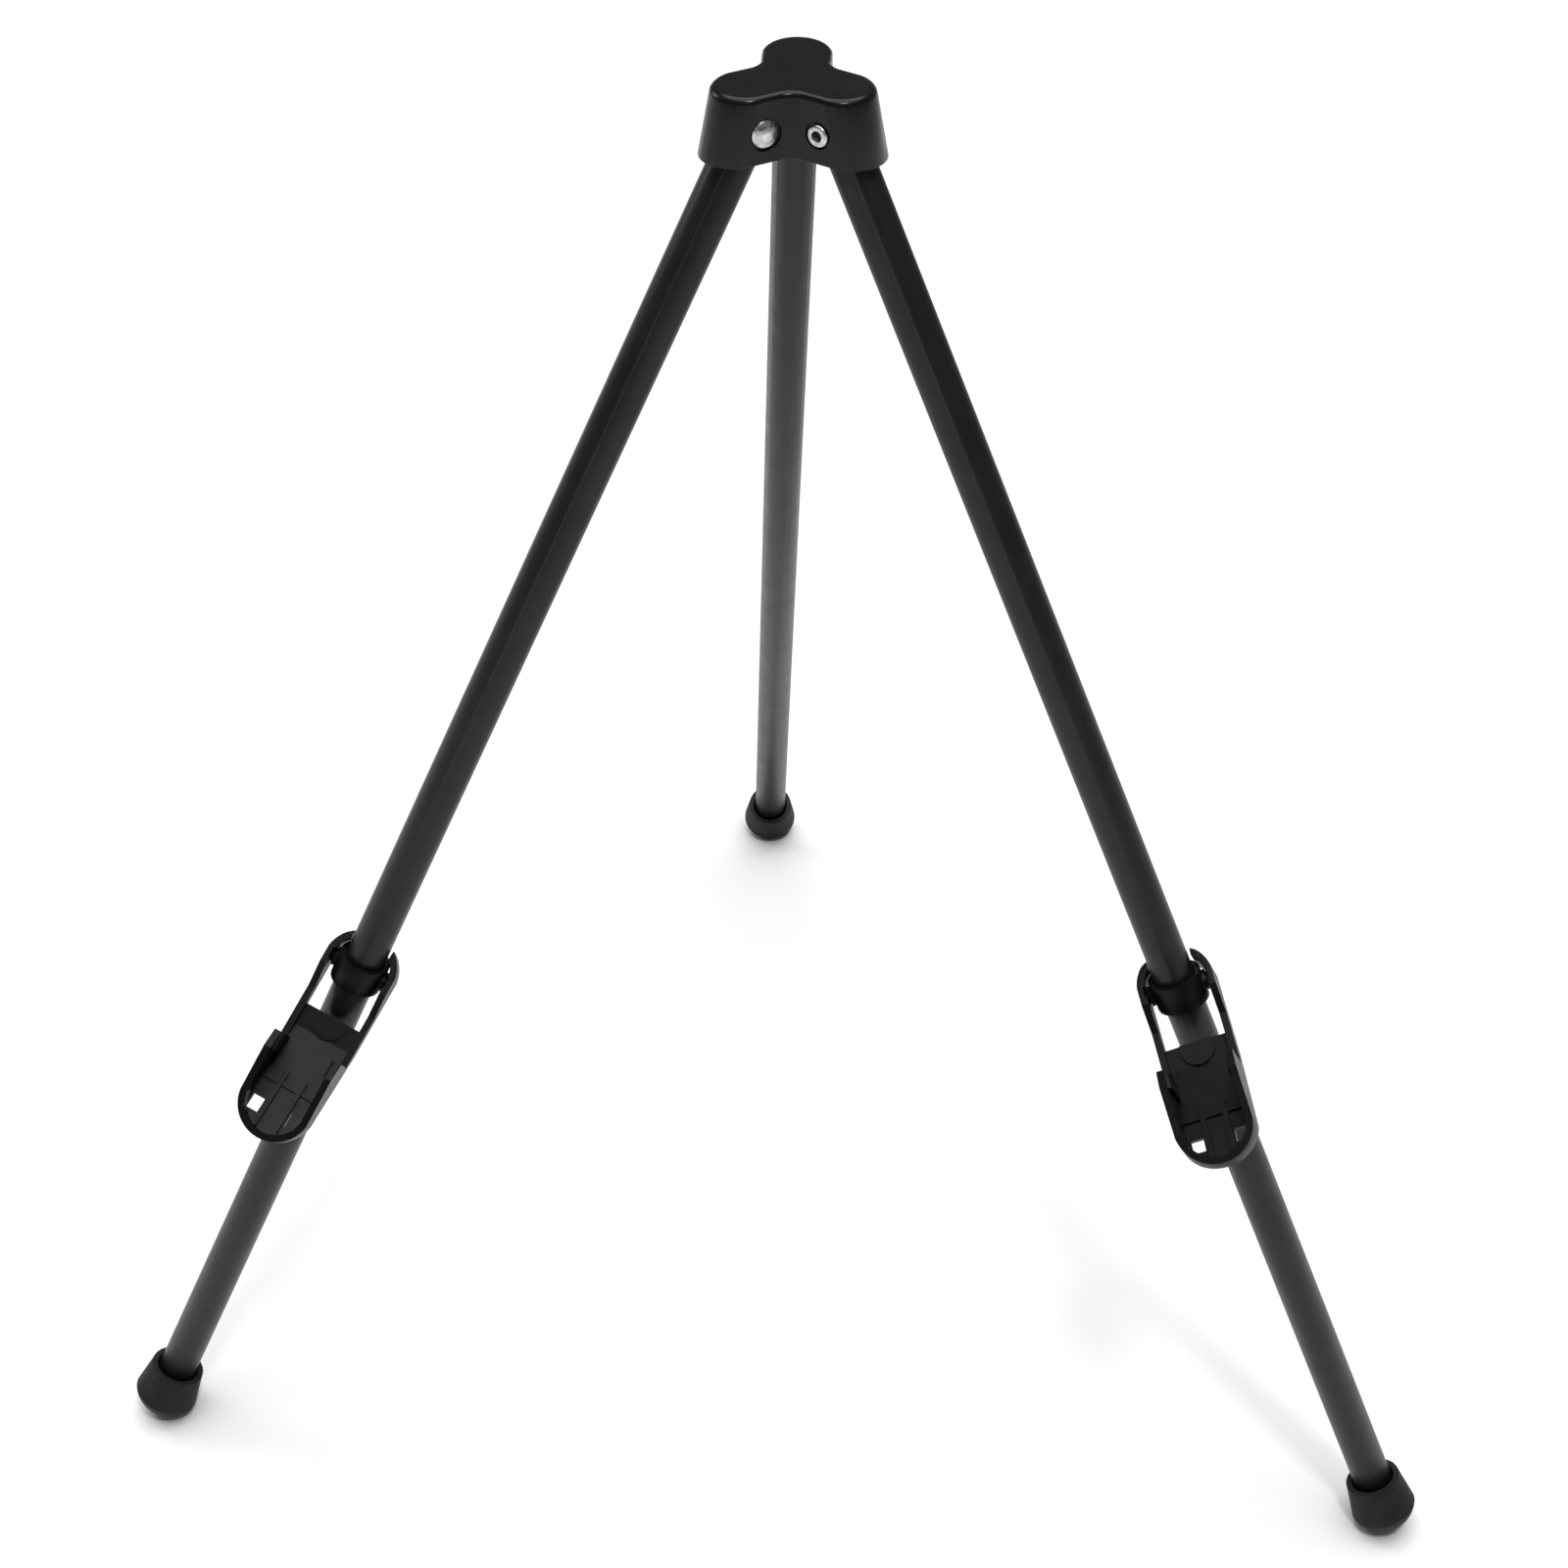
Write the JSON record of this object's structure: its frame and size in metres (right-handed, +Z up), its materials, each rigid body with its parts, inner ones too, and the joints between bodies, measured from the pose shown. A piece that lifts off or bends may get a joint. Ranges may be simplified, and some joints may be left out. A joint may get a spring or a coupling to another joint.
{
  "type": "tabletop display easel",
  "caption": "Folding tabletop display easel: tube legs riveted into a lobed hub cap, with sliding, swivelling, fold-up panel holders on the front legs.",
  "frame": {"origin": "middle of the footprint at the table", "axes": "+Z up, -Y towards the viewer of the panel, +X to the viewer's right"},
  "size_m": [0.4404, 0.3738, 0.4641],
  "materials": {
    "cap_plastic": "satin",
    "tube_paint": "satin",
    "holder_plastic": "satin",
    "foot_rubber": "matte",
    "rivet_steel": "bright",
    "washer_nylon": "satin",
    "plug_plastic": "matte",
    "bush_nylon": "matte"
  },
  "bodies": {
    "hub": {"hub_cap": "cap_plastic", "rear_leg_rivet": "rivet_steel", "rear_leg_washers": "washer_nylon", "left_leg_rivet": "rivet_steel", "left_leg_washers": "washer_nylon", "right_leg_rivet": "rivet_steel", "right_leg_washers": "washer_nylon"},
    "rear_leg": {"rear_leg_tube": "tube_paint", "rear_leg_plug": "plug_plastic", "rear_foot": "foot_rubber"},
    "left_leg": {"left_leg_tube": "tube_paint", "left_leg_plug": "plug_plastic", "left_foot": "foot_rubber"},
    "right_leg": {"right_leg_tube": "tube_paint", "right_leg_plug": "plug_plastic", "right_foot": "foot_rubber"},
    "left_grip": {"left_grip_bush": "bush_nylon"},
    "left_collar": {"left_slider_collar": "holder_plastic"},
    "left_arm": {"left_holder_arm": "holder_plastic"},
    "right_grip": {"right_grip_bush": "bush_nylon"},
    "right_collar": {"right_slider_collar": "holder_plastic"},
    "right_arm": {"right_holder_arm": "holder_plastic"}
  },
  "joints": [
    {"name": "rear_leg_fold", "type": "hinge", "parent": "hub", "child": "rear_leg", "pos_m": [0.00672, -0.04311, 0.4532], "axis": [-0.9945, -0.1045, 0], "range_deg": [0, 26.4]},
    {"name": "left_leg_fold", "type": "hinge", "parent": "hub", "child": "left_leg", "pos_m": [-0.00497, -0.06336, 0.4532], "axis": [0.3746, -0.9272, 0], "range_deg": [0, 26.4]},
    {"name": "right_leg_fold", "type": "hinge", "parent": "hub", "child": "right_leg", "pos_m": [0.01841, -0.06336, 0.4532], "axis": [0.5, 0.866, 0], "range_deg": [0, 26.4]},
    {"name": "left_holder_slide", "type": "slide", "parent": "left_leg", "child": "left_grip", "axis": [0.4123, 0.1666, 0.8957], "range_m": [-0.1275, 0.1975]},
    {"name": "left_holder_swivel", "type": "hinge", "parent": "left_grip", "child": "left_collar", "pos_m": [-0.12968, -0.11374, 0.18225], "axis": [0.4123, 0.1666, 0.8957], "continuous": true},
    {"name": "left_arm_fold", "type": "hinge", "parent": "left_collar", "child": "left_arm", "pos_m": [-0.12968, -0.11374, 0.18225], "axis": [-0.8904, 0.2818, 0.3574], "range_deg": [0, 125]},
    {"name": "right_holder_slide", "type": "slide", "parent": "right_leg", "child": "right_grip", "axis": [0.3851, -0.2223, -0.8957], "range_m": [-0.18, 0.145]},
    {"name": "right_holder_swivel", "type": "hinge", "parent": "right_grip", "child": "right_collar", "pos_m": [0.12816, -0.12672, 0.19792], "axis": [-0.3851, 0.2223, 0.8957], "continuous": true},
    {"name": "right_arm_fold", "type": "hinge", "parent": "right_collar", "child": "right_arm", "pos_m": [0.12816, -0.12672, 0.19792], "axis": [-0.9229, -0.0876, -0.375], "range_deg": [-14, 111]}
  ]
}
